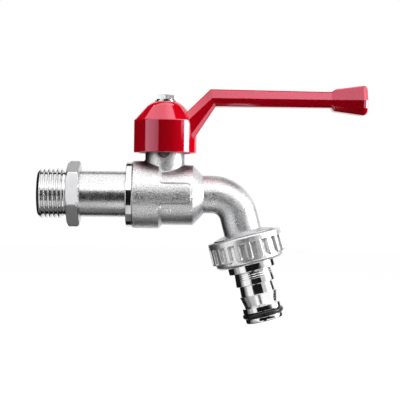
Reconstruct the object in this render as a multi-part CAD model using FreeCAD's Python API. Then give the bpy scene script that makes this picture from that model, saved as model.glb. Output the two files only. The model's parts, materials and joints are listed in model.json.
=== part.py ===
import FreeCAD, Part
import math
import os

# Garden ball valve with a lever, a bent spout and a push-on hose tail. Millimetres.
# The origin is on the inlet's axis, at the end of its full thread. +X runs with the flow, +Z is up.
# The valve is open at rest: the lever lies along +X, over the spout.

V = FreeCAD.Vector

# Clearances
thread_gap = 0.05
seat_gap = 0.06
turn_gap = 0.05
face_gap = 0.05
stop_gap = 0.25

# Ball, bores and the stem's place behind the body's front face
stem_set = 13.3
ball_r = 9.5
ball_bore_r = 5.5
inlet_bore_r = 6.5
way_r = 5.9

# Inlet tail: thread, hexagon collar, tube, ring flange and screwed end
inlet_thread_r = 10.4775
inlet_thread_len = 10.7
inlet_relief_r = 9.3
inlet_relief_len = 1.6
inlet_relief_x = 0.4
inlet_chamfer_r = 9.1
inlet_chamfer_len = 1.2
collar_len = 5.1
collar_flats = 24.0
collar_turn_deg = 9.0
collar_back_chamfer = 1.3
collar_front_chamfer = 0.7
tube_r = 9.6
tube_len = 19.4
ring_r = 13.65
ring_len = 2.5
ring_edge = 0.35
tail_screw_r = 12.0
seal_section = 1.1
seal_groove_len = 1.6

# Ball seats
seat_lip = 1.8
seat_depth = 2.8
seat_in_r = 6.0
seat_out_r = 9.25

# Body: two bands, the side pads, the cone
band1_r = 14.05
band1_len = 11.0
band1_edge = 0.5
band1_step = 1.4
band2_r = 12.5
band2_len = 14.2
cone_len = 4.4
cavity_gap = 0.5
pad_z = 0.5
pad_half = 3.75
pad_len = 13.2
pad_corner = 1.4
pad_flare = 2.0
pad_draft = 0.9
pad_root = 1.5

# Spout
spout_z = 0.39
spout_r = 7.85
spout_stub = 3.6
bend_r = 11.55
bend_deg = 75.0
spout_straight = 7.0
shoulder_r = 12.6
shoulder_len = 1.3
spout_land = 1.1
outlet_thread_r = 13.15
spout_end = 14.6
spout_mouth_r = 9.5
spout_mouth_depth = 2.7

# Neck, stem and gland
neck_r = 8.2
neck_top = 21.5
neck_fillet = 0.8
boss_r = 3.0
boss_dimple_r = 2.3
boss_proud = 0.5
boss_shift = -0.3
boss_z = 17.6
stem_r = 4.0
stem_flange_r = 4.75
stem_flange_gap = 0.4
stem_flange_len = 1.55
washer_thick = 0.5
slot_width = 4.2
slot_depth = 2.7
tang_length = 9.0
stem_groove_land = 0.7
stem_groove_len = 1.7
stem_ring_section = 1.4
packing_floor = 15.0
packing_len = 3.4
gland_len = 1.6
chamber_r = 6.0
gland_head_flats = 13.0
gland_head_len = 2.8
square_base = 24.7
square_half = 3.0
stem_top = 31.0

# Stops between the neck and the lever's cap
stop_r = 10.0
stop_len = 2.0
stop_rib_half = 2.5
lever_travel_deg = 90.0

# Lever: cap
cap_r = 13.1
cap_rim_z = 17.35
cap_shoulder_z = 30.95
cap_top_z = 38.75
cap_wall = 2.0
cap_cone_r = 7.6
cap_cone_z = 37.0
cap_flat_r = 4.9
cap_edge = 0.5
hub_r = 6.2
hub_base = 24.9
rib_inner_r = 8.8

# Lever: arm, as stations of (distance from the stem, z, half width) for its top, ridge, crease and bottom
root_top = (5.6, 31.1, 4.9)
root_bottom = (10.45, 20.9, 5.8)
root_shares = ((0.28, 9.2), (0.80, 7.6))
arm_kink = ((18.7, 44.1, 3.9), (19.4, 40.3, 5.7), (20.3, 38.2, 5.3), (20.9, 37.0, 4.2))
arm_waist = ((68.9, 43.65, 3.6), (68.9, 40.25, 5.2), (68.9, 38.2, 4.8), (68.9, 37.05, 3.8))
grip_start = ((70.8, 44.85, 3.7), (70.6, 40.25, 5.4), (70.3, 37.6, 5.0), (70.2, 35.6, 3.9))
grip_end = ((82.1, 46.35, 4.7), (82.1, 40.25, 6.8), (82.1, 37.0, 6.1), (82.1, 34.05, 4.2))
arm_edge = 0.45
grip_edge = 2.0
grip_edge_steps = 3

# Handle screw and its washers
screw_r = 2.0
screw_bite = 7.15
screw_runout = 1.85
screw_flats = 7.0
screw_head = 1.8
screw_edge = 0.6
flat_washer_r = 4.5
flat_washer_len = 0.5
lock_washer_r = 3.8
lock_washer_len = 0.6
lock_washer_split = 0.8

# Union nut
nut_top = 8.8
nut_len = 11.7
nut_wall = 1.0
nut_band_len = 2.7
nut_edge = 1.5
nut_rib_count = 20
nut_rib_high = 1.25
nut_rib_width = 2.4
nut_rib_end = 18.2
nut_rib_turn_deg = 1.2
nut_top_edge = 0.4
outlet_washer_len = 2.0

# Hose tail: radii and stations along the outlet's axis
tail_bore_r = 5.0
tail_flange_r = 12.7
tail_flange_len = 1.75
tail_neck_r = 9.9
tail_neck_end = 23.5
barb1 = (7.8, 8.3, 29.1)
barb2 = (7.0, 7.3, 33.4)
tail_cone = (8.0, 6.8, 38.5)
tail_collar_r = 8.1
tail_collar_end = 40.6
groove_r = 6.3
groove_end = 43.0
tail_tip_r = 7.9
tail_end = 45.0
tail_edge = 0.7
tail_ring_section = 2.35

# Places that follow from the sizes
collar_x = inlet_relief_x + inlet_relief_len
tube_x = collar_x + collar_len
ring_x = tube_x + tube_len
body_x = ring_x + ring_len
band1_end = body_x + band1_len
pad_end_x = band1_end + pad_len
band2_end_x = band1_end + band2_len
bend_x = band2_end_x + cone_len + spout_stub
stem_x = body_x + stem_set
seat_reach = ball_r - seat_lip - seat_depth
cavity_r = ball_r + cavity_gap
slot_floor = ball_r - slot_depth
stem_flange_base = ball_r + stem_flange_gap
inlet_end_x = inlet_relief_x - inlet_thread_len
seat_x = stem_x - seat_reach
socket_r = tail_screw_r + thread_gap
pocket_r = seat_out_r + face_gap
neck_bore_r = stem_r + turn_gap
nut_thread_r = outlet_thread_r + turn_gap
nut_base_r = nut_thread_r + nut_wall
nut_band_r = nut_base_r + nut_rib_high
washer_t = spout_end + face_gap
flange_t = washer_t + outlet_washer_len
lip_t = flange_t + tail_flange_len + face_gap
flange_top = stem_flange_base + stem_flange_len
flange_roof = flange_top + face_gap + washer_thick
stem_groove_z = flange_roof + stem_groove_land
nut_end = nut_top + nut_len
packing_top = packing_floor + packing_len
gland_top = packing_top + gland_len
washer_top = cap_top_z + flat_washer_len
screw_low = stem_top - screw_bite

flow = V(1, 0, 0)
up = V(0, 0, 1)
bend_rad = math.radians(bend_deg)
outlet_dir = V(math.cos(bend_rad), 0, -math.sin(bend_rad))
outlet_start = V(bend_x + bend_r * math.sin(bend_rad), 0, spout_z - bend_r + bend_r * math.cos(bend_rad))

on_pipe = FreeCAD.Placement(V(0, 0, 0), FreeCAD.Rotation(up, flow))
on_spout = FreeCAD.Placement(V(0, 0, spout_z), FreeCAD.Rotation(up, flow))
on_stem = FreeCAD.Placement(V(stem_x, 0, 0), FreeCAD.Rotation())
on_outlet = FreeCAD.Placement(outlet_start, FreeCAD.Rotation(up, outlet_dir))


def turned(profile, place):
    """A solid of revolution from a closed outline of (radius, height) points."""
    points = [V(r, 0, h) for r, h in profile]
    face = Part.Face(Part.makePolygon(points + points[:1]))
    solid = face.revolve(V(0, 0, 0), up, 360)
    solid.Placement = place
    return solid


def rod(radius, low, high, place):
    return turned([(0, low), (radius, low), (radius, high), (0, high)], place)


def ring(inner, outer, low, high, place):
    return turned([(inner, low), (outer, low), (outer, high), (inner, high)], place)


def o_ring(middle, section, height, place):
    solid = Part.makeTorus(middle, section / 2)
    solid.Placement = place.multiply(FreeCAD.Placement(V(0, 0, height), FreeCAD.Rotation()))
    return solid


def bend(radius):
    """The spout's turn, as a rod of the given radius round the bend's centre."""
    circle = Part.Face(Part.Wire(Part.makeCircle(radius, V(bend_x, 0, spout_z), flow)))
    return circle.revolve(V(bend_x, 0, spout_z - bend_r), V(0, 1, 0), bend_deg)


def hexagon(flats, low, high, turn_deg, place):
    """A hexagonal prism along the local height, with a corner at turn_deg from local -Y."""
    corner = flats / math.sqrt(3)
    angles = [math.radians(turn_deg - 90 + 60 * k) for k in range(6)]
    points = [V(corner * math.cos(a), corner * math.sin(a), low) for a in angles]
    prism = Part.Face(Part.makePolygon(points + points[:1])).extrude(V(0, 0, high - low))
    prism.Placement = place
    return prism


def block(low, high):
    size = high - low
    return Part.makeBox(size.x, size.y, size.z, low)


def sector(radius, low, high, from_deg, to_deg, place):
    """A pie slice about the local height, between two angles from local +X."""
    solid = Part.makeCylinder(radius, high - low, V(0, 0, low), up, to_deg - from_deg)
    solid.rotate(V(0, 0, 0), up, from_deg)
    solid.Placement = place.multiply(solid.Placement)
    return solid


def inlet_tail():
    body = turned([
        (inlet_bore_r, inlet_end_x),
        (inlet_chamfer_r, inlet_end_x),
        (inlet_thread_r, inlet_end_x + inlet_chamfer_len),
        (inlet_thread_r, inlet_relief_x),
        (inlet_relief_r, inlet_relief_x),
        (inlet_relief_r, collar_x),
        (tube_r, collar_x),
        (tube_r, ring_x),
        (ring_r - ring_edge, ring_x),
        (ring_r, ring_x + ring_edge),
        (ring_r, body_x),
        (tail_screw_r - seal_section, body_x),
        (tail_screw_r - seal_section, body_x + seal_groove_len),
        (tail_screw_r, body_x + seal_groove_len),
        (tail_screw_r, seat_x),
        (pocket_r, seat_x),
        (pocket_r, seat_x - seat_depth),
        (seat_in_r, seat_x - seat_depth),
        (seat_in_r, seat_x - 2 * seat_depth),
        (inlet_bore_r, seat_x - 2 * seat_depth - (inlet_bore_r - seat_in_r)),
    ], on_pipe)
    corner = collar_flats / math.sqrt(3)
    chamfer = turned([
        (inlet_bore_r, collar_x),
        (corner - collar_back_chamfer, collar_x),
        (corner, collar_x + collar_back_chamfer * math.tan(math.radians(30))),
        (corner, tube_x - collar_front_chamfer * math.tan(math.radians(45))),
        (corner - collar_front_chamfer, tube_x),
        (inlet_bore_r, tube_x),
    ], on_pipe)
    # The flat that faces the viewer leans up by collar_turn_deg.
    collar = hexagon(collar_flats, collar_x, tube_x, 30 - collar_turn_deg, on_pipe)
    return body.fuse(collar.common(chamfer)).removeSplitter()


def on_neck_root(edge):
    """True for the edges where the neck leaves the two bands."""
    middle = edge.valueAt((edge.FirstParameter + edge.LastParameter) / 2)
    away = math.hypot(middle.x - stem_x, middle.y)
    return abs(away - neck_r) < 0.01 and 1 < middle.z < band1_r + 0.01


def neck_boss():
    """The round boss with a dimple on the front of the neck, under the lever's cap."""
    centre = V(stem_x + boss_shift, -neck_r - boss_proud, boss_z)
    boss = Part.makeCylinder(boss_r, boss_proud + 1, centre, V(0, 1, 0))
    dimple = Part.makeCylinder(boss_dimple_r, boss_proud, centre, V(0, 1, 0))
    return boss.cut(dimple)


def arc(start, end, centre, radius):
    """The quarter circle between two points that lie straight above, below or beside its centre."""
    way = ((start - centre) + (end - centre)).normalize()
    return Part.Arc(start, centre + way * radius, end).toShape()


def pad_outline(depth, spread):
    """A side pad's outline at a depth in front of the axis, wider there by spread than on the pad's top."""
    def at(x, side, z):
        return V(x, -depth, pad_z + side * z)

    start_x = band1_end - pad_draft
    flare_x = band1_end + pad_flare
    flare_z = pad_half + pad_flare
    corner_x = pad_end_x - pad_corner
    corner_z = pad_half - pad_corner
    edges = []
    for side in (1, -1):
        flare_out = at(band1_end + spread, side, flare_z)
        flare_in = at(flare_x, side, pad_half + spread)
        corner_in = at(corner_x, side, pad_half + spread)
        corner_out = at(pad_end_x + spread, side, corner_z)
        edges += [
            Part.makeLine(at(start_x, side, flare_z), flare_out),
            arc(flare_out, flare_in, at(flare_x, side, flare_z), pad_flare - spread),
            Part.makeLine(flare_in, corner_in),
            arc(corner_in, corner_out, at(corner_x, side, corner_z), pad_corner + spread),
        ]
    edges.append(Part.makeLine(at(pad_end_x + spread, 1, corner_z), at(pad_end_x + spread, -1, corner_z)))
    edges.append(Part.makeLine(at(start_x, 1, flare_z), at(start_x, -1, flare_z)))
    return Part.Wire(Part.sortEdges(edges)[0])


def side_pads():
    """The pads on both sides: flush with the first band, flared where they leave it, with sloping walls."""
    front = Part.makeLoft([pad_outline(band1_r, 0), pad_outline(band2_r - pad_root, pad_draft)], True, True)
    back = front.mirror(V(0, 0, 0), V(0, 1, 0))
    return front.fuse(back).common(rod(band1_r, band1_end - pad_draft, pad_end_x + pad_draft, on_pipe))


def body_outside():
    bands = turned([
        (0, body_x),
        (band1_r - band1_edge, body_x),
        (band1_r, body_x + band1_edge),
        (band1_r, band1_end),
        (band2_r, band1_end + band1_step),
        (band2_r, band2_end_x),
        (spout_r, band2_end_x + cone_len),
        (0, band2_end_x + cone_len),
    ], on_pipe)
    neck = rod(neck_r, 0, neck_top, on_stem)
    bands = bands.fuse(neck).removeSplitter()
    root = [e for e in bands.Edges if on_neck_root(e)]
    bands = bands.makeFillet(neck_fillet, root)
    stub = rod(spout_r, band2_end_x, bend_x, on_spout)
    shoulder_end = spout_straight + shoulder_len
    end = turned([
        (0, 0),
        (spout_r, 0),
        (spout_r, spout_straight),
        (shoulder_r, shoulder_end),
        (shoulder_r, shoulder_end + spout_land),
        (outlet_thread_r, shoulder_end + spout_land + outlet_thread_r - shoulder_r),
        (outlet_thread_r, spout_end),
        (0, spout_end),
    ], on_outlet)
    return bands.multiFuse([side_pads(), stub, bend(spout_r), end, neck_boss()]).removeSplitter()


def stop_collar():
    """The collar on the neck, with the notch that the lever's rib moves in."""
    collar = ring(neck_r - 0.5, stop_r, neck_top - stop_len, neck_top, on_stem)
    rib_half_deg = math.degrees(math.asin((stop_rib_half + stop_gap) / rib_inner_r))
    notch = sector(stop_r + 1, neck_top - stop_len, neck_top, 180 - lever_travel_deg - rib_half_deg,
                   180 + rib_half_deg, on_stem)
    neck = rod(neck_r, neck_top - stop_len, neck_top, on_stem)
    return collar.cut(notch.cut(neck))


def body_hollows():
    socket = rod(socket_r, body_x, seat_x + face_gap, on_pipe)
    cavity = rod(cavity_r, seat_x, stem_x + seat_reach, on_pipe)
    pocket = rod(pocket_r, stem_x, stem_x + seat_reach + seat_depth, on_pipe)
    throat = rod(seat_in_r, stem_x, stem_x + seat_reach + 2 * seat_depth, on_pipe)
    way = rod(way_r, stem_x, bend_x, on_spout)
    mouth_t = spout_end - spout_mouth_depth
    mouth = turned([
        (0, 0),
        (way_r, 0),
        (way_r, mouth_t - (spout_mouth_r - way_r)),
        (spout_mouth_r, mouth_t),
        (spout_mouth_r, spout_end),
        (0, spout_end),
    ], on_outlet)
    flange_bore = rod(stem_flange_r + turn_gap, 0, flange_roof, on_stem)
    stem_bore = rod(neck_bore_r, 0, packing_floor, on_stem)
    chamber = rod(chamber_r, packing_floor, neck_top, on_stem)
    return [socket, cavity, pocket, throat, way, bend(way_r), mouth, flange_bore, stem_bore, chamber]


def valve_body():
    outside = body_outside().fuse(stop_collar())
    hollow = body_hollows()
    return outside.cut(hollow[0].multiFuse(hollow[1:])).removeSplitter()


def tail_seal():
    inner = tail_screw_r - seal_section + thread_gap / 2
    middle = (inner + tail_screw_r) / 2
    return o_ring(middle, tail_screw_r - inner, body_x + seal_groove_len / 2, on_pipe)


def seat(low, high):
    ball_room = Part.makeSphere(ball_r + seat_gap, V(stem_x, 0, 0))
    return ring(seat_in_r, seat_out_r, low, high, on_pipe).cut(ball_room)


def ball():
    sphere = Part.makeSphere(ball_r, V(stem_x, 0, 0))
    bore = rod(ball_bore_r, stem_x - 2 * ball_r, stem_x + 2 * ball_r, on_pipe)
    half = slot_width / 2
    slot = block(V(stem_x - half, -ball_r, slot_floor), V(stem_x + half, ball_r, 2 * ball_r))
    return sphere.cut(bore).cut(slot)


def stem():
    groove_r0 = neck_bore_r - stem_ring_section - turn_gap
    groove_top = stem_groove_z + stem_groove_len
    shaft = turned([
        (0, stem_flange_base),
        (stem_flange_r, stem_flange_base),
        (stem_flange_r, flange_top),
        (stem_r, flange_top),
        (stem_r, stem_groove_z),
        (groove_r0, stem_groove_z),
        (groove_r0, groove_top),
        (stem_r, groove_top),
        (stem_r, square_base),
        (0, square_base),
    ], on_stem)
    half = slot_width / 2 - turn_gap
    tang = block(V(stem_x - half, -tang_length / 2, slot_floor + face_gap),
                 V(stem_x + half, tang_length / 2, stem_flange_base))
    tang = tang.common(rod(stem_flange_r, slot_floor, stem_flange_base, on_stem))
    square = block(V(stem_x - square_half, -square_half, square_base),
                   V(stem_x + square_half, square_half, stem_top))
    square = square.common(rod(stem_r, square_base, stem_top, on_stem))
    tap = rod(screw_r + thread_gap, screw_low - screw_runout, stem_top, on_stem)
    return shaft.multiFuse([tang, square]).cut(tap).removeSplitter()


def stem_o_ring():
    middle = neck_bore_r - turn_gap / 2 - stem_ring_section / 2
    return o_ring(middle, stem_ring_section, stem_groove_z + stem_groove_len / 2, on_stem)


def gland_nut():
    head_low = neck_top + face_gap
    hole_r = neck_bore_r + turn_gap
    screw = ring(hole_r, chamber_r - thread_gap, gland_top, head_low, on_stem)
    head = hexagon(gland_head_flats, head_low, head_low + gland_head_len, 0, on_stem)
    return screw.fuse(head.cut(rod(hole_r, head_low, neck_top * 2, on_stem))).removeSplitter()


def eased(corner, before, after):
    """Two points in place of a corner, one on each side that meets there."""
    return [corner + (other - corner).normalize() * arm_edge for other in (before, after)]


def arm_section(station):
    """One closed outline of the arm, with its top and bottom corners eased."""
    left = [V(x, -half, z) for x, z, half in station]
    right = [V(x, half, z) for x, z, half in station]
    top = eased(left[0], right[0], left[1])
    bottom = eased(left[3], left[2], right[3])
    bottom += eased(right[3], left[3], right[2])
    points = top + left[1:3] + bottom + right[2:0:-1] + eased(right[0], right[1], left[0])
    return Part.makePolygon(points + points[:1])


def root_station():
    """The arm's first station, which is flat and lies inside the cap."""
    def between(share):
        return tuple(a + share * (b - a) for a, b in zip(root_top[:2], root_bottom[:2]))
    inner = tuple(between(share) + (half,) for share, half in root_shares)
    return (root_top,) + inner + (root_bottom,)


def grip_rounding():
    """Stations past the grip's widest one, which round its end off."""
    stations = []
    for step in range(1, grip_edge_steps + 1):
        turn = math.pi / 2 * step / grip_edge_steps
        ahead = grip_edge * math.sin(turn)
        inset = grip_edge * (1 - math.cos(turn))
        lifts = (-inset, 0, 0, inset)
        stations.append([(x + ahead, z + lift, half - inset) for (x, z, half), lift in zip(grip_end, lifts)])
    return stations


def lever_arm():
    stations = [root_station(), arm_kink, arm_waist, grip_start, grip_end] + grip_rounding()
    arm = Part.makeLoft([arm_section(s) for s in stations], True, True)
    arm.Placement = on_stem
    return arm


def cap_outline(shrink):
    """Half outline of the cap's outside, or of its hollow when shrink is the wall."""
    top = cap_top_z - shrink
    slope = math.atan2(cap_r - cap_cone_r, cap_cone_z - cap_shoulder_z)
    drop = shrink * (1 - math.sin(slope)) / math.cos(slope)
    return [
        V(0, 0, cap_rim_z),
        V(cap_r - shrink, 0, cap_rim_z),
        V(cap_r - shrink, 0, cap_shoulder_z - drop),
        V(cap_cone_r - shrink * math.cos(slope), 0, cap_cone_z - shrink * math.sin(slope)),
        V(cap_flat_r - shrink / 2, 0, top),
        V(0, 0, top),
    ]


def cap_solid(shrink):
    rim0, rim, shoulder, cone, flat, top = cap_outline(shrink)
    crown = V(0.4 * cone.x + 0.6 * flat.x, 0, 0.32 * cone.z + 0.68 * flat.z)
    edges = [
        Part.makeLine(rim0, rim),
        Part.makeLine(rim, shoulder),
        Part.makeLine(shoulder, cone),
        Part.Arc(cone, crown, flat).toShape(),
        Part.makeLine(flat, top),
        Part.makeLine(top, rim0),
    ]
    solid = Part.Face(Part.Wire(edges)).revolve(V(0, 0, 0), up, 360)
    solid.Placement = on_stem
    return solid


def lever_handle():
    cap = cap_solid(0)
    edges = [e for e in cap.Edges if abs(e.Length - 2 * math.pi * cap_r) < 0.01]
    outside = cap.makeFillet(cap_edge, edges).fuse(lever_arm())
    hollow = cap_solid(cap_wall)
    hub = rod(hub_r, hub_base, cap_top_z - cap_wall / 2, on_stem)
    rib = block(V(stem_x - cap_r + cap_wall / 2, -stop_rib_half, neck_top - stop_len),
                V(stem_x - rib_inner_r, stop_rib_half, cap_cone_z))
    rib = rib.common(cap_solid(cap_wall / 2))
    half = square_half + turn_gap
    socket = block(V(stem_x - half, -half, hub_base), V(stem_x + half, half, stem_top + stop_gap))
    hole = rod(screw_r + 2 * turn_gap, hub_base, cap_top_z, on_stem)
    shell = outside.cut(hollow)
    return shell.multiFuse([hub, rib]).cut(socket).cut(hole).removeSplitter()


def lock_washer():
    top = washer_top + lock_washer_len
    washer = ring(screw_r + 2 * turn_gap, lock_washer_r, washer_top, top, on_stem)
    half = lock_washer_split / 2
    gap = block(V(stem_x, -half, washer_top), V(stem_x + 2 * lock_washer_r, half, top))
    return washer.cut(gap)


def handle_screw():
    seat_z = washer_top + lock_washer_len
    top = seat_z + screw_head
    corner = screw_flats / math.sqrt(3)
    head = hexagon(screw_flats, seat_z, top, 0, on_stem)
    crown = turned([
        (0, seat_z),
        (corner, seat_z),
        (corner, top - screw_edge / 2),
        (corner - screw_edge, top),
        (0, top),
    ], on_stem)
    shank = rod(screw_r, screw_low, seat_z, on_stem)
    return head.common(crown).fuse(shank).removeSplitter()


def nut_rib(index):
    """One raised rib of the union nut, with a round lower end."""
    half = nut_rib_width / 2
    low = nut_top + nut_band_len / 2
    end = nut_rib_end - half
    side = nut_base_r - 1
    edges = [
        Part.makeLine(V(side, -half, low), V(side, half, low)),
        Part.makeLine(V(side, half, low), V(side, half, end)),
        Part.Arc(V(side, half, end), V(side, 0, end + half), V(side, -half, end)).toShape(),
        Part.makeLine(V(side, -half, end), V(side, -half, low)),
    ]
    rib = Part.Face(Part.Wire(edges)).extrude(V(nut_band_r, 0, 0))
    rib = rib.common(rod(nut_band_r, nut_top, nut_end, FreeCAD.Placement()))
    # Local +X points up and back from the outlet, so the viewer's side is local -Y.
    rib.rotate(V(0, 0, 0), up, -90 - nut_rib_turn_deg - 360 / nut_rib_count * index)
    rib.Placement = on_outlet.multiply(rib.Placement)
    return rib


def union_nut():
    base = turned([
        (0, nut_top),
        (nut_band_r - nut_top_edge, nut_top),
        (nut_band_r, nut_top + nut_top_edge),
        (nut_band_r, nut_top + nut_band_len),
        (nut_base_r, nut_top + nut_band_len),
        (nut_base_r, nut_end - nut_edge),
        (nut_base_r - nut_edge, nut_end),
        (0, nut_end),
    ], on_outlet)
    ribs = [nut_rib(k) for k in range(nut_rib_count)]
    hollow = rod(nut_thread_r, nut_top, lip_t, on_outlet)
    hole = rod(tail_neck_r + 3 * turn_gap, nut_top, nut_end, on_outlet)
    return base.multiFuse(ribs).cut(hollow).cut(hole).removeSplitter()


def hose_tail():
    flange_end = flange_t + tail_flange_len
    low1, high1, end1 = barb1
    low2, high2, end2 = barb2
    wide, narrow, cone_end = tail_cone
    return turned([
        (tail_bore_r, flange_t),
        (tail_flange_r, flange_t),
        (tail_flange_r, flange_end),
        (tail_neck_r, flange_end),
        (tail_neck_r, tail_neck_end),
        (low1, tail_neck_end),
        (high1, end1),
        (low2, end1),
        (high2, end2),
        (wide, end2),
        (narrow, cone_end),
        (tail_collar_r, cone_end),
        (tail_collar_r, tail_collar_end),
        (groove_r, tail_collar_end),
        (groove_r, groove_end),
        (tail_tip_r, groove_end),
        (tail_tip_r, tail_end - tail_edge),
        (tail_tip_r - tail_edge, tail_end),
        (tail_bore_r, tail_end),
    ], on_outlet)


def nozzle_o_ring():
    middle = groove_r + tail_ring_section / 2 + turn_gap / 2
    return o_ring(middle, tail_ring_section, (tail_collar_end + groove_end) / 2, on_outlet)


nodes = {
    "inlet_tail": inlet_tail(),
    "valve_body": valve_body(),
    "tail_seal": tail_seal(),
    "inlet_seat": seat(seat_x - seat_depth, seat_x),
    "outlet_seat": seat(stem_x + seat_reach, stem_x + seat_reach + seat_depth),
    "ball": ball(),
    "stem": stem(),
    "thrust_washer": ring(neck_bore_r, stem_flange_r, flange_roof - washer_thick, flange_roof, on_stem),
    "stem_o_ring": stem_o_ring(),
    "stem_packing": ring(neck_bore_r, chamber_r, packing_floor, packing_top, on_stem),
    "packing_gland": ring(neck_bore_r, chamber_r - thread_gap, packing_top, gland_top, on_stem),
    "gland_nut": gland_nut(),
    "lever_handle": lever_handle(),
    "flat_washer": ring(screw_r + 2 * turn_gap, flat_washer_r, cap_top_z, washer_top, on_stem),
    "lock_washer": lock_washer(),
    "handle_screw": handle_screw(),
    "union_nut": union_nut(),
    "outlet_washer": ring(way_r + 1, tail_flange_r, washer_t, flange_t, on_outlet),
    "hose_tail": hose_tail(),
    "nozzle_o_ring": nozzle_o_ring(),
}

os.makedirs("parts", exist_ok=True)
for name, shape in nodes.items():
    assert shape.isValid(), name
    shape.exportStep(f"parts/{name}.step")
    print(name, len(shape.Solids), round(shape.Volume, 1))
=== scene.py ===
import json
import math

import bmesh
import bpy
from mathutils import Matrix, Vector


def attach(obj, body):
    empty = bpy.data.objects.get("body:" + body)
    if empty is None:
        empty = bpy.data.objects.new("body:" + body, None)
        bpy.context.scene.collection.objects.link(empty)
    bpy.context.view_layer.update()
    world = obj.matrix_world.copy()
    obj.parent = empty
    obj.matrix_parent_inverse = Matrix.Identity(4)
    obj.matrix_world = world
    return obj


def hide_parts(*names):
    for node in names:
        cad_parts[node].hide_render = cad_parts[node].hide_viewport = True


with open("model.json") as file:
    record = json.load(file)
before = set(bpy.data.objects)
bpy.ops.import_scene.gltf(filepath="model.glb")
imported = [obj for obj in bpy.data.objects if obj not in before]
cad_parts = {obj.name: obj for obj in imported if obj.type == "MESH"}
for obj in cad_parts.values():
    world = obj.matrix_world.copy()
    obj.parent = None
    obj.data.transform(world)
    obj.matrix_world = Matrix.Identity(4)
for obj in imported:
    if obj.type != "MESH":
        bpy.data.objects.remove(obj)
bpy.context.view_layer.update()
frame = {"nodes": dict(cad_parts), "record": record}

MM = 0.001

# Spout's bend, in millimetres like every size of the valve
bend_x = 62.2
bend_z = 0.39
bend_r = 11.55
bend_deg = 75.0

# Inlet thread
thread_r = 10.4775
thread_root_r = 9.3155
thread_pitch = 1.8143
thread_start = -10.3
thread_end = 0.4
thread_steps = 14
thread_flat_share = 0.12
thread_cut_begins = 0.8
thread_cut_full = 1.5
chamfer_r = 9.1
chamfer_slope = 1.15
runout_slope = 1.6
relief_x = 0.5
relief_r = 9.3

# Inlet tail: hexagon collar, tube, ring flange and screwed end
collar_x = 2.0
collar_flats = 24.0
collar_flat_deg = 81.0
collar_face_r = 11.9
collar_back_chamfer = 1.3
collar_back_slope = 1.7
collar_front_chamfer = 0.8
collar_front_slope = 1.2
collar_steps = 22
tube_x = 7.1
tube_r = 9.6
ring_x = 26.5
ring_r = 13.65
body_x = 29.0
seal_section = 1.1
seal_groove_len = 1.6
screw_r = 12.0
tail_x = 37.4
inlet_bore_r = 6.5
bore_edge = 0.3
seat_in_r = 6.0
pocket_r = 9.3
seat_depth = 2.8

# Union nut; low, high, end and t are places along the outlet's axis, here and below
nut_low = 8.8
nut_high = 20.5
nut_step = 0.15
nut_band_r = 15.45
nut_base_r = 14.2
nut_band_end = 11.5
nut_band_blend = 0.25
nut_rib_count = 20
nut_rib_end = 18.2
nut_rib_half = 1.2
nut_rib_blend = 0.2
nut_rib_turn_deg = 1.2
nut_rim_edge = 0.45
nut_rim_len = 0.6
nut_edge = 1.5
nut_edge_power = 2.2
nut_thread_r = 13.2
nut_lip_t = 18.45
nut_hole_r = 10.05
nut_face_width = 0.6

# Hose tail: barbs and cone as (radius at the start, radius at the end, place of the end)
flange_t = 16.65
flange_end = 18.4
flange_r = 12.7
tail_bore_r = 5.0
tail_neck_r = 9.9
tail_neck_end = 23.5
barb1 = (7.8, 8.3, 29.1)
barb2 = (7.0, 7.3, 33.4)
tail_cone = (8.0, 6.8, 38.5)
barb_step = 0.05
tail_collar_r = 8.1
tail_collar_end = 40.6
groove_r = 6.3
groove_end = 43.0
tail_tip_r = 7.9
tail_end = 45.0

# Fine turned lines on the first barb
line_start = 23.85
line_pitch = 0.9
line_width = 0.22
line_depth = 0.036
line_count = 4

# Ring near the hose tail's end
o_ring_t = 41.8
o_ring_middle = 7.5
o_ring_section = 2.35
o_ring_steps = 28


def basis(origin, along, across):
    """A placement in metres whose local Z runs along an axis; sizes given to it are in millimetres."""
    z = Vector(along).normalized()
    x = Vector(across).normalized()
    y = z.cross(x)
    turn = Matrix((x, y, z)).transposed().to_4x4()
    return Matrix.Translation(Vector(origin) * MM) @ turn @ Matrix.Scale(MM, 4)


bend_rad = math.radians(bend_deg)
outlet_dir = (math.cos(bend_rad), 0, -math.sin(bend_rad))
outlet_start = (bend_x + bend_r * math.sin(bend_rad), 0, bend_z - bend_r + bend_r * math.cos(bend_rad))
on_pipe = basis((0, 0, 0), (1, 0, 0), (0, 0, 1))
on_outlet = basis(outlet_start, outlet_dir, (0, -1, 0))


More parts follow.
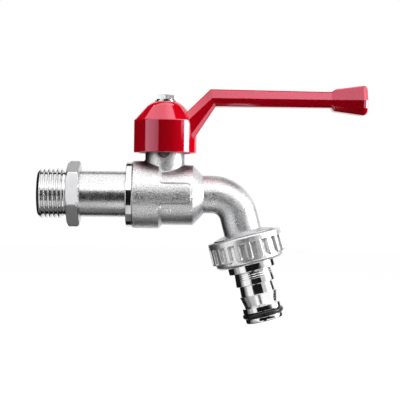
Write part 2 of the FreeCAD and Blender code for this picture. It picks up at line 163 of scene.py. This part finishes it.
# Node helpers
class Shader:
    """One material and short ways to add nodes to it."""

    def __init__(self, name):
        self.material = bpy.data.materials.new(name)
        self.material.use_nodes = True
        self.nodes = self.material.node_tree.nodes
        self.links = self.material.node_tree.links
        self.surface = self.nodes["Principled BSDF"]
        self.place = self.add("ShaderNodeTexCoord").outputs["Object"]

    def add(self, kind, **values):
        node = self.nodes.new(kind)
        for key, value in values.items():
            setattr(node, key, value)
        return node

    def set(self, **values):
        for key, value in values.items():
            self.surface.inputs[key.replace("_", " ")].default_value = value

    def drive(self, value, target):
        self.links.new(value, self.surface.inputs[target])

    def stretched(self, scale):
        node = self.add("ShaderNodeMapping")
        node.inputs["Scale"].default_value = scale
        self.links.new(self.place, node.inputs["Vector"])
        return node.outputs["Vector"]

    def noise(self, size_mm, detail=2.0, place=None):
        node = self.add("ShaderNodeTexNoise")
        node.inputs["Scale"].default_value = 1 / (size_mm * MM)
        node.inputs["Detail"].default_value = detail
        self.links.new(place or self.place, node.inputs["Vector"])
        return node.outputs["Fac"]

    def spread(self, value, low, high, lowest=0.3, highest=0.7):
        """Maps a value from lowest to highest onto low to high."""
        node = self.add("ShaderNodeMapRange")
        node.inputs["From Min"].default_value = lowest
        node.inputs["From Max"].default_value = highest
        node.inputs["To Min"].default_value = low
        node.inputs["To Max"].default_value = high
        self.links.new(value, node.inputs["Value"])
        return node.outputs["Result"]

    def mixed(self, share, first, second):
        """Mixes two colours. The second one may be a node's output."""
        node = self.add("ShaderNodeMix", data_type="RGBA")
        factor, colour_a, colour_b = node.inputs[0], node.inputs[6], node.inputs[7]
        self.links.new(share, factor)
        colour_a.default_value = (*first, 1)
        if isinstance(second, tuple):
            colour_b.default_value = (*second, 1)
        else:
            self.links.new(second, colour_b)
        return node.outputs[2]

    def with_painted_shade(self, colour, reach_mm, clear):
        """A colour with painted shade: it darkens towards dark grey where less than the share clear of the
        view within reach_mm is open.
        """
        view = self.add("ShaderNodeAmbientOcclusion", samples=8)
        view.inputs["Distance"].default_value = reach_mm * MM
        # Painted shade: the dark grey below stands in for the shade in hollows and under overhangs.
        return self.mixed(self.spread(view.outputs["AO"], 0, 1, 0.3, clear), (0.06, 0.06, 0.06), colour)

    def tint(self, noise, dark, light):
        """Lets the base colour wander between two colours."""
        self.drive(self.mixed(self.spread(noise, 0, 1), dark, light), "Base Color")

    def gloss(self, noise, low, high):
        """Lets the roughness wander between two values."""
        self.drive(self.spread(noise, low, high), "Roughness")

    def relief(self, layers, edge_mm=0.0):
        """Bump from (height, depth in mm, strength) layers, over edges rounded by edge_mm."""
        normal = None
        if edge_mm:
            edge = self.add("ShaderNodeBevel", samples=4)
            edge.inputs["Radius"].default_value = edge_mm * MM
            normal = edge.outputs["Normal"]
        for height, depth_mm, strength in layers:
            bump = self.add("ShaderNodeBump")
            bump.inputs["Distance"].default_value = depth_mm * MM
            bump.inputs["Strength"].default_value = strength
            self.links.new(height, bump.inputs["Height"])
            if normal:
                self.links.new(normal, bump.inputs["Normal"])
            normal = bump.outputs["Normal"]
        self.drive(normal, "Normal")


# Materials
def blasted_nickel(name, roughness, dent_mm, dark, light, edge_mm, painted_shade_mm, clear):
    """Nickel plate over shot-blasted brass: small dents, with painted shade darker in their pits and
    painted shade in hollows and under overhangs.
    """
    grain_mm = 0.42
    s = Shader(name)
    s.set(Metallic=1.0)
    # The speckle follows the dents' own height: a random grain tone, with painted shade in the pits.
    speckle = s.spread(s.noise(grain_mm, 1), 0, 1, 0.4, 0.6)
    grey = s.mixed(speckle, (dark, dark, dark + 0.01), (light, light, light + 0.01))
    # Painted shade within the given reach darkens the base colour in hollows and under overhangs.
    s.drive(s.with_painted_shade(grey, painted_shade_mm, clear), "Base Color")
    s.gloss(s.noise(3, 4), roughness - 0.04, roughness + 0.04)
    s.relief([(s.noise(grain_mm, 1), dent_mm, 1.0)], edge_mm=edge_mm)
    return s.material


def bright_nickel():
    """Nickel plate over turned brass: nearly a mirror, with faint tool lines."""
    s = Shader("bright_nickel")
    s.set(Metallic=1.0)
    s.tint(s.noise(9), (0.70, 0.70, 0.70), (0.76, 0.76, 0.76))
    s.gloss(s.noise(2.5, 3), 0.07, 0.14)
    lines = s.noise(1.0, 2, s.stretched((9, 0.2, 0.2)))
    s.relief([(lines, 0.01, 0.2)])
    return s.material


def tail_chrome(name, roughness):
    """Polished chrome with the slight waviness of hand polishing."""
    s = Shader(name)
    s.set(Metallic=1.0)
    s.tint(s.noise(8), (0.70, 0.70, 0.70), (0.78, 0.78, 0.78))
    s.gloss(s.noise(2, 3), roughness - 0.03, roughness + 0.03)
    s.relief([(s.noise(2.6, 2), 0.02, 0.25)])
    return s.material


def red_enamel():
    """Glossy red enamel over a die casting, with slight waves."""
    s = Shader("red_enamel")
    s.set(IOR=2.25, Specular_Tint=(1.0, 0.54, 0.72, 1))
    s.tint(s.noise(20, 2), (0.66, 0.0, 0.008), (0.72, 0.0, 0.014))
    s.gloss(s.noise(6, 3), 0.04, 0.08)
    s.relief([(s.noise(6, 1), 0.02, 0.1)])
    return s.material


def black_rubber():
    s = Shader("black_rubber")
    s.tint(s.noise(1.5), (0.010, 0.010, 0.010), (0.022, 0.022, 0.022))
    s.set(IOR=1.4)
    s.gloss(s.noise(0.8, 3), 0.20, 0.30)
    s.relief([(s.noise(0.5, 2), 0.01, 0.2)])
    return s.material


def zinc_steel():
    s = Shader("zinc_steel")
    s.set(Metallic=1.0)
    s.tint(s.noise(2.5, 2), (0.58, 0.58, 0.58), (0.72, 0.72, 0.71))
    s.gloss(s.noise(1.2, 3), 0.16, 0.26)
    s.relief([(s.noise(1.2, 2), 0.01, 0.2)])
    return s.material


def bare_brass():
    s = Shader("bare_brass")
    s.set(Metallic=1.0)
    s.tint(s.noise(4, 2), (0.58, 0.40, 0.16), (0.70, 0.52, 0.24))
    s.gloss(s.noise(1.5, 3), 0.22, 0.34)
    s.relief([(s.noise(0.6, 2), 0.02, 0.2)])
    return s.material


def white_ptfe():
    s = Shader("white_ptfe")
    s.tint(s.noise(3, 2), (0.78, 0.78, 0.76), (0.84, 0.84, 0.82))
    s.gloss(s.noise(1.5, 3), 0.40, 0.55)
    s.relief([(s.noise(0.7, 2), 0.01, 0.2)])
    return s.material


# Painted shade: the casting darkens under the cap and lever, the nut in the grooves beside its ribs, the
# bar and collar in the corners at their ends.
blasted_casting = blasted_nickel("blasted_casting", roughness=0.30, dent_mm=0.17, dark=0.54, light=0.80,
                                 edge_mm=0.4, painted_shade_mm=14, clear=0.65)
blasted_nut = blasted_nickel("blasted_nut", roughness=0.34, dent_mm=0.08, dark=0.68, light=0.96,
                             edge_mm=0.15, painted_shade_mm=1.6, clear=0.88)
blasted_bar = blasted_nickel("blasted_bar", roughness=0.27, dent_mm=0.04, dark=0.58, light=0.76,
                             edge_mm=0.2, painted_shade_mm=2, clear=0.7)
satin_collar = blasted_nickel("satin_collar", roughness=0.32, dent_mm=0.01, dark=0.64, light=0.70,
                              edge_mm=0.3, painted_shade_mm=2, clear=0.7)
bright = bright_nickel()
chrome = tail_chrome("tail_chrome", roughness=0.10)
dull_chrome = tail_chrome("dull_chrome", roughness=0.20)
rubber = black_rubber()

slot_material = {
    "plated_brass": blasted_casting,
    "polished_chrome": chrome,
    "red_enamel": red_enamel(),
    "zinc_steel": zinc_steel(),
    "bare_brass": bare_brass(),
    "ptfe": white_ptfe(),
    "black_rubber": rubber,
}


def finish_cad_nodes():
    """Every frame node gets the material of its slot."""
    slots = {row["node"]: row["material_slot"] for row in frame["record"]["subparts"]}
    for name, node in frame["nodes"].items():
        for slot in node.material_slots:
            slot.material = slot_material[slots[name]]


# Turned meshes
def ring_mesh(name, rings, place, count, materials):
    """A closed skin through rings of count points. A ring is (height, radius, material)."""
    mesh = bpy.data.meshes.new(name)
    work = bmesh.new()
    loops = []
    for height, radius, _ in rings:
        loop = []
        for k in range(count):
            angle = 2 * math.pi * k / count
            r = radius(angle) if callable(radius) else radius
            loop.append(work.verts.new(place @ Vector((r * math.cos(angle), r * math.sin(angle), height))))
        loops.append(loop)
    for i, loop in enumerate(loops):
        after = loops[(i + 1) % len(loops)]
        for k in range(count):
            m = (k + 1) % count
            face = work.faces.new((loop[k], loop[m], after[m], after[k]))
            face.material_index = rings[i][2]
            face.smooth = True
    bmesh.ops.recalc_face_normals(work, faces=work.faces)
    work.to_mesh(mesh)
    work.free()
    piece = bpy.data.objects.new(name, mesh)
    bpy.context.scene.collection.objects.link(piece)
    for material in materials:
        mesh.materials.append(material)
    weigh = piece.modifiers.new("even_normals", "WEIGHTED_NORMAL")
    weigh.weight = 80
    return piece


def eased(corners, steps=4):
    """Rings from (radius, height, easing, material) corners; easing is how far a corner is rounded."""
    rings = []
    for i, (r, h, ease, material) in enumerate(corners):
        before = corners[i - 1]
        after = corners[(i + 1) % len(corners)]
        if not ease:
            rings.append((h, r, material))
            continue
        corner = Vector((r, h))
        start = corner + (Vector(before[:2]) - corner).normalized() * ease
        end = corner + (Vector(after[:2]) - corner).normalized() * ease
        for k in range(steps + 1):
            t = k / steps
            point = start * (1 - t) ** 2 + corner * 2 * t * (1 - t) + end * t ** 2
            rings.append((point.y, point.x, before[3] if t < 0.5 else material))
    return rings


def soft_step(value, low, high):
    t = min(1.0, max(0.0, (value - low) / (high - low)))
    return t * t * (3 - 2 * t)


# Inlet tail
def thread_radius(x):
    """The thread's radius round the circle at one place along the pipe."""
    depth = thread_r - thread_root_r
    cut = soft_step(x, thread_start + thread_cut_begins, thread_start + thread_cut_full)
    run_in = chamfer_r + (x - thread_start) * chamfer_slope
    run_out = relief_r + max(0.0, thread_end - x) * runout_slope

    def radius(angle):
        phase = ((x - thread_start) / thread_pitch - angle / (2 * math.pi)) % 1.0
        flank = 1.0 - abs(phase - 0.5) * 2
        crest = soft_step(flank, thread_flat_share, 1 - thread_flat_share)
        return min(thread_r - depth * cut * (1 - crest), run_in, run_out)

    return radius


def collar_radius(x):
    """The hexagon's radius round the circle, with its corners turned off towards both faces."""
    corner = collar_flats / math.sqrt(3)
    back = corner - collar_back_chamfer + (x - collar_x) * collar_back_slope
    front = corner - collar_front_chamfer + (tube_x - x) * collar_front_slope

    def radius(angle):
        off = (math.degrees(angle) - collar_flat_deg + 30) % 60 - 30
        flat = collar_flats / 2 / math.cos(math.radians(off))
        return min(flat, back, front)

    return radius


def make_inlet_tail():
    bright_part, blasted_part, collar_part = 0, 1, 2
    rings = [
        (tail_x - 2 * seat_depth - (inlet_bore_r - seat_in_r), inlet_bore_r, bright_part),
        (thread_start + bore_edge, inlet_bore_r, bright_part),
        (thread_start, inlet_bore_r + bore_edge, bright_part),
    ]
    step = thread_pitch / thread_steps
    count = int((thread_end - thread_start) / step)
    for k in range(count + 1):
        x = thread_start + k * step
        rings.append((x, thread_radius(x), bright_part))
    rings += [
        (relief_x, relief_r, bright_part),
        (collar_x, relief_r, bright_part),
        (collar_x, collar_face_r, collar_part),
    ]
    for k in range(collar_steps + 1):
        x = collar_x + (tube_x - collar_x) * k / collar_steps
        rings.append((x, collar_radius(x), collar_part))
    rings += eased([
        (collar_face_r, tube_x, 0, blasted_part),
        (tube_r, tube_x, 0.3, blasted_part),
        (tube_r, ring_x, 0.3, bright_part),
        (ring_r, ring_x, 0.35, bright_part),
        (ring_r, body_x, 0.12, bright_part),
        (screw_r - seal_section, body_x, 0, bright_part),
        (screw_r - seal_section, body_x + seal_groove_len, 0, bright_part),
        (screw_r, body_x + seal_groove_len, 0, bright_part),
        (screw_r, tail_x, 0, bright_part),
        (pocket_r, tail_x, 0, bright_part),
        (pocket_r, tail_x - seat_depth, 0, bright_part),
        (seat_in_r, tail_x - seat_depth, 0, bright_part),
        (seat_in_r, tail_x - 2 * seat_depth, 0, bright_part),
    ])
    materials = [bright, blasted_bar, satin_collar]
    piece = ring_mesh("inlet_tail_finished", rings, on_pipe, count=240, materials=materials)
    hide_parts("inlet_tail")
    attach(piece, "valve")


# Union nut: ribs hang from a plain band
def nut_radius(t):
    """The nut's radius round the circle at one place along the outlet."""
    height = nut_band_r - nut_base_r
    band = 1 - soft_step(t, nut_band_end - nut_band_blend, nut_band_end + nut_band_blend)
    rim_ease = nut_rim_edge * (1 - soft_step(t, nut_low, nut_low + nut_rim_len)) ** 2
    edge_ease = nut_edge * max(0.0, (t - (nut_high - nut_edge)) / nut_edge) ** nut_edge_power

    def radius(angle):
        pitch = 360 / nut_rib_count
        off_deg = (math.degrees(angle) + nut_rib_turn_deg + pitch / 2) % pitch - pitch / 2
        across = nut_band_r * math.radians(off_deg)
        past = max(0.0, t - (nut_rib_end - nut_rib_half))
        away = math.hypot(across, past)
        rib = 1 - soft_step(away, nut_rib_half - nut_rib_blend, nut_rib_half + nut_rib_blend)
        return nut_base_r + height * max(band, rib) - rim_ease - edge_ease

    return radius


def make_union_nut():
    count = int(round((nut_high - nut_low) / nut_step))
    heights = [nut_low + (nut_high - nut_low) * k / count for k in range(count + 1)]
    rings = [(t, nut_radius(t), 0) for t in heights]
    rings += eased([
        (nut_hole_r + nut_face_width, nut_high, 0, 0),
        (nut_hole_r, nut_high, 0.3, 0),
        (nut_hole_r, nut_lip_t, 0, 0),
        (nut_thread_r, nut_lip_t, 0, 0),
        (nut_thread_r, nut_low, 0.3, 0),
        (nut_thread_r + nut_face_width, nut_low, 0, 0),
    ])
    piece = ring_mesh("union_nut_finished", rings, on_outlet, count=480, materials=[blasted_nut])
    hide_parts("union_nut")
    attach(piece, "nut")


# Hose tail
def turned_lines():
    """Thin grooves round the first barb."""
    start_r, end_r, end = barb1
    slope = (end_r - start_r) / (end - tail_neck_end)
    points = []
    for k in range(line_count):
        for quarter, share in ((-2, 0), (-1, 0.5), (0, 1), (1, 0.5), (2, 0)):
            t = line_start + line_pitch * k + line_width / 4 * quarter
            points.append((start_r + slope * (t - tail_neck_end) - line_depth * share, t, 0, 0))
    return points


def make_hose_tail():
    polished, dull = 0, 1
    rings = eased([
        (tail_bore_r, flange_t, 0, polished),
        (flange_r, flange_t, 0, polished),
        (flange_r, flange_end, 0, polished),
        (tail_neck_r, flange_end, 0.3, polished),
        (tail_neck_r, tail_neck_end, 0.3, polished),
        (barb1[0], tail_neck_end, 0.15, polished),
        *turned_lines(),
        (barb1[1], barb1[2], 0.2, polished),
        (barb2[0], barb1[2] + barb_step, 0.15, polished),
        (barb2[1], barb2[2], 0.1, polished),
        (tail_cone[0], barb2[2] + barb_step, 0.2, dull),
        (tail_cone[1], tail_cone[2], 0.3, polished),
        (tail_collar_r, tail_cone[2], 0.12, polished),
        (tail_collar_r, tail_collar_end, 0.12, polished),
        (groove_r, tail_collar_end, 0, polished),
        (groove_r, groove_end, 0, polished),
        (tail_tip_r, groove_end, 0.2, polished),
        (tail_tip_r, tail_end, 0.7, polished),
        (tail_bore_r, tail_end, 0.4, polished),
    ])
    piece = ring_mesh("hose_tail_finished", rings, on_outlet, count=192, materials=[chrome, dull_chrome])
    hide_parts("hose_tail")
    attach(piece, "tail")


def make_nozzle_o_ring():
    half = o_ring_section / 2
    rings = []
    for k in range(o_ring_steps):
        turn = 2 * math.pi * k / o_ring_steps
        rings.append((o_ring_t + half * math.cos(turn), o_ring_middle + half * math.sin(turn), 0))
    piece = ring_mesh("nozzle_o_ring_finished", rings, on_outlet, count=160, materials=[rubber])
    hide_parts("nozzle_o_ring")
    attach(piece, "tail")


# Studio, in metres: cards that only reflections see, lamps for the rest
card_centre = Vector((0.057, 0, 0))
card_steps = 24
lamp_target = (0.06, 0, 0)


def stage_mesh(name, points, faces, material):
    mesh = bpy.data.meshes.new(name)
    mesh.from_pydata(points, [], faces)
    mesh.materials.append(material)
    card = bpy.data.objects.new(name, mesh)
    bpy.context.scene.collection.objects.link(card)
    return card


def only_in_reflections(card):
    card.visible_camera = False
    card.visible_diffuse = False
    card.visible_shadow = False
    card.visible_transmission = False
    card.visible_volume_scatter = False


def glow(name, level):
    """Plain light, or (x, level, x, level) for a level that changes from one x to another."""
    material = bpy.data.materials.new(name)
    material.use_nodes = True
    tree = material.node_tree
    tree.nodes.clear()
    light = tree.nodes.new("ShaderNodeEmission")
    out = tree.nodes.new("ShaderNodeOutputMaterial")
    tree.links.new(light.outputs[0], out.inputs["Surface"])
    if isinstance(level, float):
        light.inputs["Strength"].default_value = level
        return material
    place = tree.nodes.new("ShaderNodeTexCoord")
    split = tree.nodes.new("ShaderNodeSeparateXYZ")
    ramp = tree.nodes.new("ShaderNodeMapRange")
    for socket, value in zip(("From Min", "To Min", "From Max", "To Max"), level):
        ramp.inputs[socket].default_value = value
    tree.links.new(place.outputs["Object"], split.inputs[0])
    tree.links.new(split.outputs["X"], ramp.inputs["Value"])
    tree.links.new(ramp.outputs[0], light.inputs["Strength"])
    return material


def rectangle(low, high, z):
    return [(low[0], low[1], z), (high[0], low[1], z), (high[0], high[1], z), (low[0], high[1], z)]


def flat_card(name, low, high, z, level):
    only_in_reflections(stage_mesh(name, rectangle(low, high, z), [(0, 1, 2, 3)], glow(name, level)))


def curved_card(name, azimuths, elevations, distance, level):
    """A card on a sphere round the valve. Azimuth 0 is the viewer's side, positive towards +X."""
    points = []
    for i in range(card_steps + 1):
        azimuth = math.radians(azimuths[0] + (azimuths[1] - azimuths[0]) * i / card_steps)
        for j in range(card_steps + 1):
            height = math.radians(elevations[0] + (elevations[1] - elevations[0]) * j / card_steps)
            out = math.cos(height)
            way = Vector((math.sin(azimuth) * out, -math.cos(azimuth) * out, math.sin(height)))
            points.append(card_centre + way * distance)
    wide = card_steps + 1
    faces = [(i * wide + j, i * wide + j + 1, (i + 1) * wide + j + 1, (i + 1) * wide + j)
             for i in range(card_steps) for j in range(card_steps)]
    only_in_reflections(stage_mesh(name, points, faces, glow(name, level)))


def make_cards():
    """Softboxes stand in front of dark walls; behind the valve the white background stays open."""
    roof_z = 0.9
    roof_left, roof_right = -0.678, 0.339
    roof_near, roof_split, roof_far = -3.24, -1.0, 0.468
    flat_card("roof_front", (roof_left, roof_near), (roof_right, roof_split), roof_z, 2.0)
    flat_card("roof_box", (roof_left, roof_split), (roof_right, roof_far), roof_z, (0.0, 1.35, 0.2, 2.0))
    wall, near, nearer, nearest = 5.0, 1.4, 1.35, 1.3
    curved_card("dark_walls", (-160, 140), (-90, 90), wall, 0.01)
    curved_card("dark_over_back", (140, 200), (42, 90), wall, 0.05)
    curved_card("dark_under_back", (140, 200), (-90, -42), wall, 0.01)
    curved_card("box_left", (-76, -24), (-3, 45), near, (-1.30, 1.55, -0.51, 0.75))
    curved_card("low_left", (-82, -31), (-39, -3), near, 1.2)
    curved_card("grey_right", (34, 61), (5.5, 45), near, 0.75)
    curved_card("box_right", (61, 112), (3.8, 45), near, 1.3)
    curved_card("low_right", (18, 110), (-42, -10), near, 1.4)
    curved_card("back_right", (112, 140), (14, 36), near, 1.2)
    curved_card("high_left", (-61, -20), (22, 60), nearer, 1.8)
    curved_card("high_right", (14, 110), (26, 58), nearer, 2.5)
    curved_card("strip_right", (75, 98), (-7, 12), nearest, 13.0)
    below_z = -0.158
    flat_card("light_below", (-0.8, -0.20), (0.092, -0.055), below_z, (0.01, 0.60, 0.045, 1.7))
    flat_card("grey_below", (-0.8, -0.055), (0.092, 0.045), below_z, (0.0, 0.25, 0.03, 0.12))


def soft_lamp(name, place, size, power):
    data = bpy.data.lights.new(name, "AREA")
    data.shape = "SQUARE"
    data.size = size
    data.energy = power
    lamp = bpy.data.objects.new(name, data)
    lamp.location = place
    lamp.rotation_mode = "QUATERNION"
    lamp.rotation_quaternion = (Vector(lamp_target) - Vector(place)).to_track_quat("-Z", "Y")
    lamp.visible_glossy = False
    bpy.context.scene.collection.objects.link(lamp)


def make_lamps():
    soft_lamp("top_lamp", (0.04, -0.02, 1.1), size=0.9, power=14.0)
    soft_lamp("right_lamp", (1.1, 0.05, 0.1), size=0.6, power=17.0)
    soft_lamp("left_lamp", (-1.0, -0.2, 0.2), size=0.7, power=2.0)
    soft_lamp("front_lamp", (0.06, -1.1, 0.45), size=0.7, power=2.0)


def white_for_eye(tree, level):
    """A strength that is level where the camera, a reflection or glass looks, and 0 for light."""
    path = tree.nodes.new("ShaderNodeLightPath")
    seen = path.outputs["Is Camera Ray"]
    for other in ("Is Glossy Ray", "Is Transmission Ray"):
        either = tree.nodes.new("ShaderNodeMath")
        either.operation = "MAXIMUM"
        tree.links.new(seen, either.inputs[0])
        tree.links.new(path.outputs[other], either.inputs[1])
        seen = either.outputs[0]
    scaled = tree.nodes.new("ShaderNodeMath")
    scaled.operation = "MULTIPLY"
    scaled.inputs[1].default_value = level
    tree.links.new(seen, scaled.inputs[0])
    return scaled.outputs[0]


def make_world():
    """White to the eye, and a faint light from everywhere."""
    world = bpy.data.worlds.new("studio")
    bpy.context.scene.world = world
    world.use_nodes = True
    tree = world.node_tree
    back = tree.nodes["Background"]
    back.inputs["Color"].default_value = (1, 1, 1, 1)
    ambient = 0.05
    add = tree.nodes.new("ShaderNodeMath")
    add.operation = "ADD"
    add.inputs[1].default_value = ambient
    tree.links.new(white_for_eye(tree, 1 - ambient), add.inputs[0])
    tree.links.new(add.outputs[0], back.inputs["Strength"])


def make_floor():
    """White to the eye, less the valve's shadow."""
    floor_z, reach = -0.16, 4.0
    grey, white = 0.2, 0.975
    material = bpy.data.materials.new("floor")
    material.use_nodes = True
    tree = material.node_tree
    tree.nodes.clear()
    base = tree.nodes.new("ShaderNodeBsdfDiffuse")
    base.inputs["Color"].default_value = (grey, grey, grey, 1)
    light = tree.nodes.new("ShaderNodeEmission")
    tree.links.new(white_for_eye(tree, white), light.inputs["Strength"])
    both = tree.nodes.new("ShaderNodeAddShader")
    out = tree.nodes.new("ShaderNodeOutputMaterial")
    tree.links.new(base.outputs[0], both.inputs[0])
    tree.links.new(light.outputs[0], both.inputs[1])
    tree.links.new(both.outputs[0], out.inputs["Surface"])
    points = rectangle((-reach, -reach), (reach, reach), floor_z)
    stage_mesh("floor", points, [(0, 1, 2, 3)], material).visible_glossy = False


def make_camera():
    """The photograph's view: level, from 0.58 m, rolled by less than a degree."""
    data = bpy.data.cameras.new("camera")
    data.sensor_width = 36
    data.lens = 125
    camera = bpy.data.objects.new("camera", data)
    bpy.context.scene.collection.objects.link(camera)
    roll = math.radians(0.8)
    right = Vector((math.cos(roll), 0, math.sin(roll)))
    top = Vector((-math.sin(roll), 0, math.cos(roll)))
    turn = Matrix((right, top, Vector((0, -1, 0)))).transposed().to_4x4()
    camera.matrix_world = Matrix.Translation((0.0572, -0.580, -0.00196)) @ turn
    bpy.context.scene.camera = camera


finish_cad_nodes()
make_inlet_tail()
make_union_nut()
make_hose_tail()
make_nozzle_o_ring()
make_world()
make_cards()
make_lamps()
make_floor()
make_camera()
bpy.context.scene.view_settings.view_transform = "Standard"
